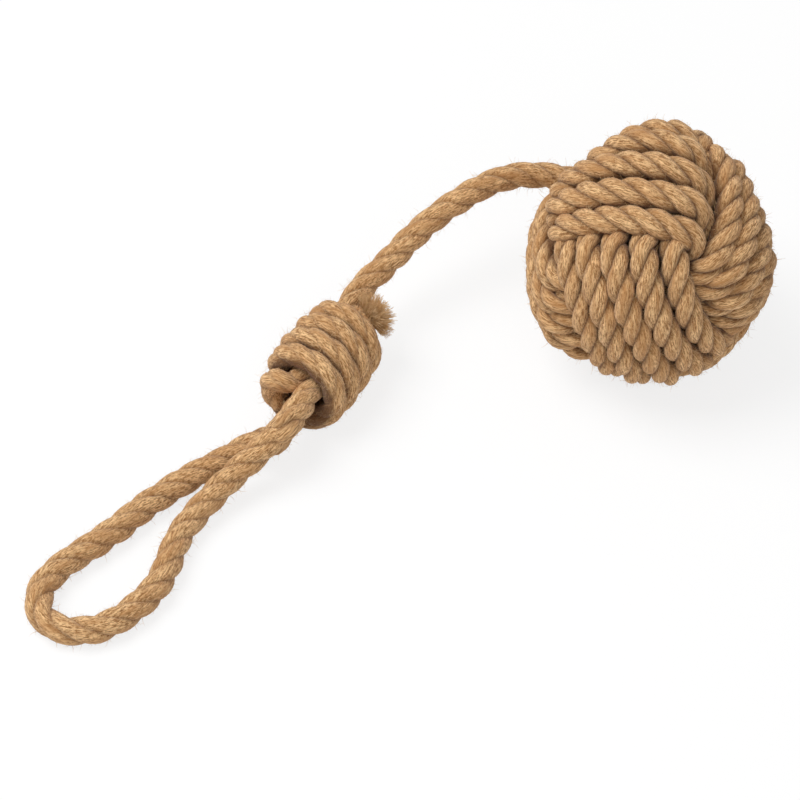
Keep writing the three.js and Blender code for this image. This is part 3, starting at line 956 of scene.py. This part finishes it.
# %% Grow the stray fibres
STRAW_ROUGHNESS = 0.8
STRAW_SCALE = (300, 300, 300)  # patches of colour per metre
STRAW_DETAIL = 2
STRAW_CONTRAST = 3
STRAW_TAN, STRAW_PALE = linear(198, 152, 100), linear(236, 204, 158)
straw, straw_shader, start = new_material("jute_fibre", STRAW_ROUGHNESS)
place = start.node("ShaderNodeTexCoord", output="Object")
tone = stretched_noise(place, STRAW_SCALE, STRAW_DETAIL)
straw_colour = mixed(about_zero(tone, STRAW_CONTRAST) + 0.5, STRAW_TAN, STRAW_PALE)
straw.node_tree.links.new(straw_colour.socket, straw_shader.inputs["Base Color"])
fibre_sizes = {
    "Density": 640000.0,
    "Length": 1.9 * MM,
    "Thickness": 0.038 * MM,
    "Lean": 1.1,
    "Longest": 1.6,
    "Bend": 1.0,
    "Material": straw,
}


def stray_fibres(rope, seed):
    obj = bpy.data.objects.new(rope.name + "_fibres", rope.data)
    scene.collection.objects.link(obj)
    return grow(obj, fibre_tree, fibre_sizes | {"Seed": seed})


hairs_of = {name: stray_fibres(rope, seed) for seed, (name, rope) in enumerate(ropes.items())}
print("stray fibres", sum(len(obj.data.polygons) for obj in hairs_of.values()), "faces")

# %% [markdown]
# ## Frayed end of the tail
# The cut end of the tail has opened into a brush. Its fibres stand on a dome just inside the last of
# the rope, so they spread like a fan. The same tree grows them, only longer, thicker and straighter
# than the stray fibres.

# %% Brush on the tail's end
BRUSH_RADIUS = 5 * MM  # of the dome
BRUSH_DEPTH = 2 * MM  # from the rope's end back to the dome's middle
BRUSH_RINGS = np.radians([15, 30, 45, 60, 75])  # each ring's angle from the rope's direction
BRUSH_SIDES = 24
brush_sizes = {
    "Density": 9e6,
    "Length": 11 * MM,
    "Thickness": 0.55 * MM,
    "Lean": 0.2,
    "Longest": 0.1,
    "Bend": 0.3,
    "Seed": 5,
    "Material": straw,
}
tail_line = lines["knot_wraps_and_tail"]
tail_end, tail_heading, tail_side = (tail_line[key][-1] for key in ("points", "heading", "side"))
turn = np.arange(BRUSH_SIDES) * 2 * np.pi / BRUSH_SIDES
spokes = np.outer(np.cos(turn), tail_side) + np.outer(np.sin(turn), np.cross(tail_heading, tail_side))
dome = np.vstack([np.cos(angle) * tail_heading + np.sin(angle) * spokes for angle in BRUSH_RINGS])
dome_points = tail_end - BRUSH_DEPTH * tail_heading + BRUSH_RADIUS * dome
dome_faces = [tuple(range(BRUSH_SIDES))]
for ring in range(len(BRUSH_RINGS) - 1):
    for side in range(BRUSH_SIDES):
        one = ring * BRUSH_SIDES + side
        two = ring * BRUSH_SIDES + (side + 1) % BRUSH_SIDES
        dome_faces.append((one, one + BRUSH_SIDES, two + BRUSH_SIDES, two))
dome_mesh = bpy.data.meshes.new("tail_fray")
dome_mesh.from_pydata(dome_points.tolist(), [], dome_faces)
dome_mesh.attributes.new("fuzz", "FLOAT", "POINT").data.foreach_set("value", [1.0] * len(dome_points))
fray = bpy.data.objects.new("tail_fray", dome_mesh)
scene.collection.objects.link(fray)
grow(fray, fibre_tree, brush_sizes)
print("brush of", len(fray.data.polygons), "faces at the tail's end")

# %% [markdown]
# ## Wooden core
# Nothing shows of the core, but it is a real piece: a turned ball that the fist is tied round. It stays
# the CAD solid, with growth rings on its own object coordinates.

# %% Core material
WOOD_ROUGHNESS = 0.6
RING_SCALE = 60
RING_DISTORTION = 3
WOOD_PALE, WOOD_DARK = linear(176, 136, 92), linear(138, 100, 62)
core_wood, core_shader, start = new_material("core_wood", WOOD_ROUGHNESS)
place = start.node("ShaderNodeTexCoord", output="Object")
ring_settings = {"wave_type": "RINGS", "rings_direction": "X"}
ring_sockets = {"Vector": place, "Scale": RING_SCALE, "Distortion": RING_DISTORTION}
rings = start.node("ShaderNodeTexWave", ring_settings, ring_sockets, "Fac")
ring_colour = mixed(rings, WOOD_PALE, WOOD_DARK)
core_wood.node_tree.links.new(ring_colour.socket, core_shader.inputs["Base Color"])
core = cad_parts["ball_core"]
core.data.materials.clear()
core.data.materials.append(core_wood)
print("core", core.name)

# %% [markdown]
# ## Riding on the joints
# The fist and the knot are tied hard, so their pieces ride on one body each. Free rope bends where a
# joint is, so each stretch between two bodies is listed with both bodies and the place of its bend, and
# its mesh is kept where it lies. The fibres go with their rope.

# %% Bodies and bends
riders = {  # the body that a rope rides on and the CAD node that it replaces
    "ball_rope_first": ("ball", "fist_first_turns"),
    "ball_rope_second": ("ball", "fist_second_turns"),
    "ball_rope_third": ("ball", "fist_third_turns"),
    "knot_standing": ("knot", "knot_standing_part"),
    "knot_wraps_and_tail": ("knot", "knot_wraps"),
}
# Where a bend starts and ends, in metres.
BALL_BEND = (0.0245, 0.038, 0.038), (0.004, 0.068, 0.038)
KNOT_BEND = (-0.032, 0.0822, 0.0246), (-0.066, 0.0822, 0.0246)
LEG_BEND = (-0.127, 0.0695, 0.018), (-0.144, 0.0695, 0.018)
LOOP_BEND = (-0.146, 0.0735, 0.0075), (-0.172, 0.0735, 0.0075)
benders = {  # the two bodies that a rope joins, its bend and the CAD node that it replaces
    "throw_rope_near": ("ball", "throw_rope", BALL_BEND, "throw_rope"),
    "throw_rope_far": ("throw_rope", "knot", KNOT_BEND, "throw_rope"),
    "loop_leg_near": ("knot", "loop_legs", LEG_BEND, "loop_leg_back"),
    "loop_leg_far": ("knot", "loop_legs", LEG_BEND, "loop_leg_front"),
    "hand_loop": ("loop_legs", "handle", LOOP_BEND, "handle_loop"),
}
for name, (body, node) in riders.items():
    for piece in (ropes[name], hairs_of[name]):
        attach(piece, body)
    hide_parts(node)
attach(fray, "knot")
for name, (near, far, (bend_start, bend_end), node) in benders.items():
    for piece in (ropes[name], hairs_of[name]):
        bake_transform(piece)
    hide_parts(node)
print(len(riders), "ropes ride on one body,", len(benders), "bend from one body to the next")

# %% [markdown]
# ## Free cords
# A rope that hangs or lies free keeps its length when it is bent. So the length of each free stretch is
# measured along its line, and the other pieces that go with it are gathered. The legs go with the hand
# loop.

# %% Free cords
free_cords = {  # what is at the far end, and the other ropes that go with it
    "throw_rope_near": ("object", []),
    "throw_rope_far": ("knot", []),
    "hand_loop": ("object", ["loop_leg_near", "loop_leg_far"]),
}
for name, (far_end, along_with) in free_cords.items():
    length = np.ptp(lines[name]["along"]) * MM
    others = [hairs_of[name]]
    others += [ropes[other] for other in along_with]
    others += [hairs_of[other] for other in along_with]
    print(name, "is", round(length / MM), "mm of free rope")

# %% [markdown]
# ## Floor and light
# The photo has a white background and soft light from all round, a little stronger from above. A wide
# area light hangs over the toy, a weaker one stands on the camera's side, and a pale world fills the
# shadows. The camera sees the floor mostly as plain white, with a trace of the toy's shadow left.

# %% Floor
FLOOR_REACH = 6
FLOOR_DROP = 0.2 * MM  # keeps the rope's lowest points off the floor
FLOOR_ROUGHNESS = 0.9
FLOOR_PALE = (0.9, 0.9, 0.9, 1)
WHITE = (1, 1, 1, 1)
FLOOR_WHITENESS = 0.8  # share of plain white that the camera sees
corners = [(-1, -1), (1, -1), (1, 1), (-1, 1)]
floor_mesh = bpy.data.meshes.new("floor")
floor_mesh.from_pydata([(x * FLOOR_REACH, y * FLOOR_REACH, 0) for x, y in corners], [], [(0, 1, 2, 3)])
floor = bpy.data.objects.new("floor", floor_mesh)
floor.location.z = -FLOOR_DROP
scene.collection.objects.link(floor)
floor_paint, floor_shader, start = new_material("floor_paint", FLOOR_ROUGHNESS)
floor_shader.inputs["Base Color"].default_value = FLOOR_PALE
seen = start.node("ShaderNodeLightPath", output="Is Camera Ray")
mirrored = seen.other("Is Glossy Ray") + seen.other("Is Transmission Ray")
white = start.node("ShaderNodeEmission", {}, {"Color": WHITE, "Strength": 1.0})
lit_floor = Wire(start.tree, floor_shader.outputs[0])
floor_mix = {0: (seen + mirrored) * FLOOR_WHITENESS, 1: lit_floor, 2: white}
mostly_white = start.node("ShaderNodeMixShader", {}, floor_mix)
shader_out = floor_paint.node_tree.nodes["Material Output"]
floor_paint.node_tree.links.new(mostly_white.socket, shader_out.inputs["Surface"])
floor.data.materials.append(floor_paint)
print("floor", 2 * FLOOR_REACH, "m across")

# %% Lamps and world
LIGHT_AIM = Vector((-0.1, 0.05, 0))
WORLD_LIGHT = 0.38  # strength of the light from all round
lamps = {  # place, power and size
    "light_above": ((-0.5, 0.7, 1.5), 25, 1.2),
    "light_camera_side": ((-0.9, -1.1, 1.2), 6, 1.0),
}
for name, (place, power, size) in lamps.items():
    lamp = bpy.data.lights.new(name, "AREA")
    lamp.energy = power
    lamp.size = size
    obj = bpy.data.objects.new(name, lamp)
    obj.location = place
    obj.rotation_euler = aimed(Vector(place), LIGHT_AIM)
    scene.collection.objects.link(obj)
world = bpy.data.worlds.new("studio")
world.use_nodes = True
start = Wire(world.node_tree)
seen = start.node("ShaderNodeLightPath", output="Is Camera Ray")
strength = seen * (1 - WORLD_LIGHT) + WORLD_LIGHT
backdrop = world.node_tree.nodes["Background"]
backdrop.inputs["Color"].default_value = WHITE
world.node_tree.links.new(strength.socket, backdrop.inputs["Strength"])
scene.world = world
print(len(lamps), "lamps and a pale world")
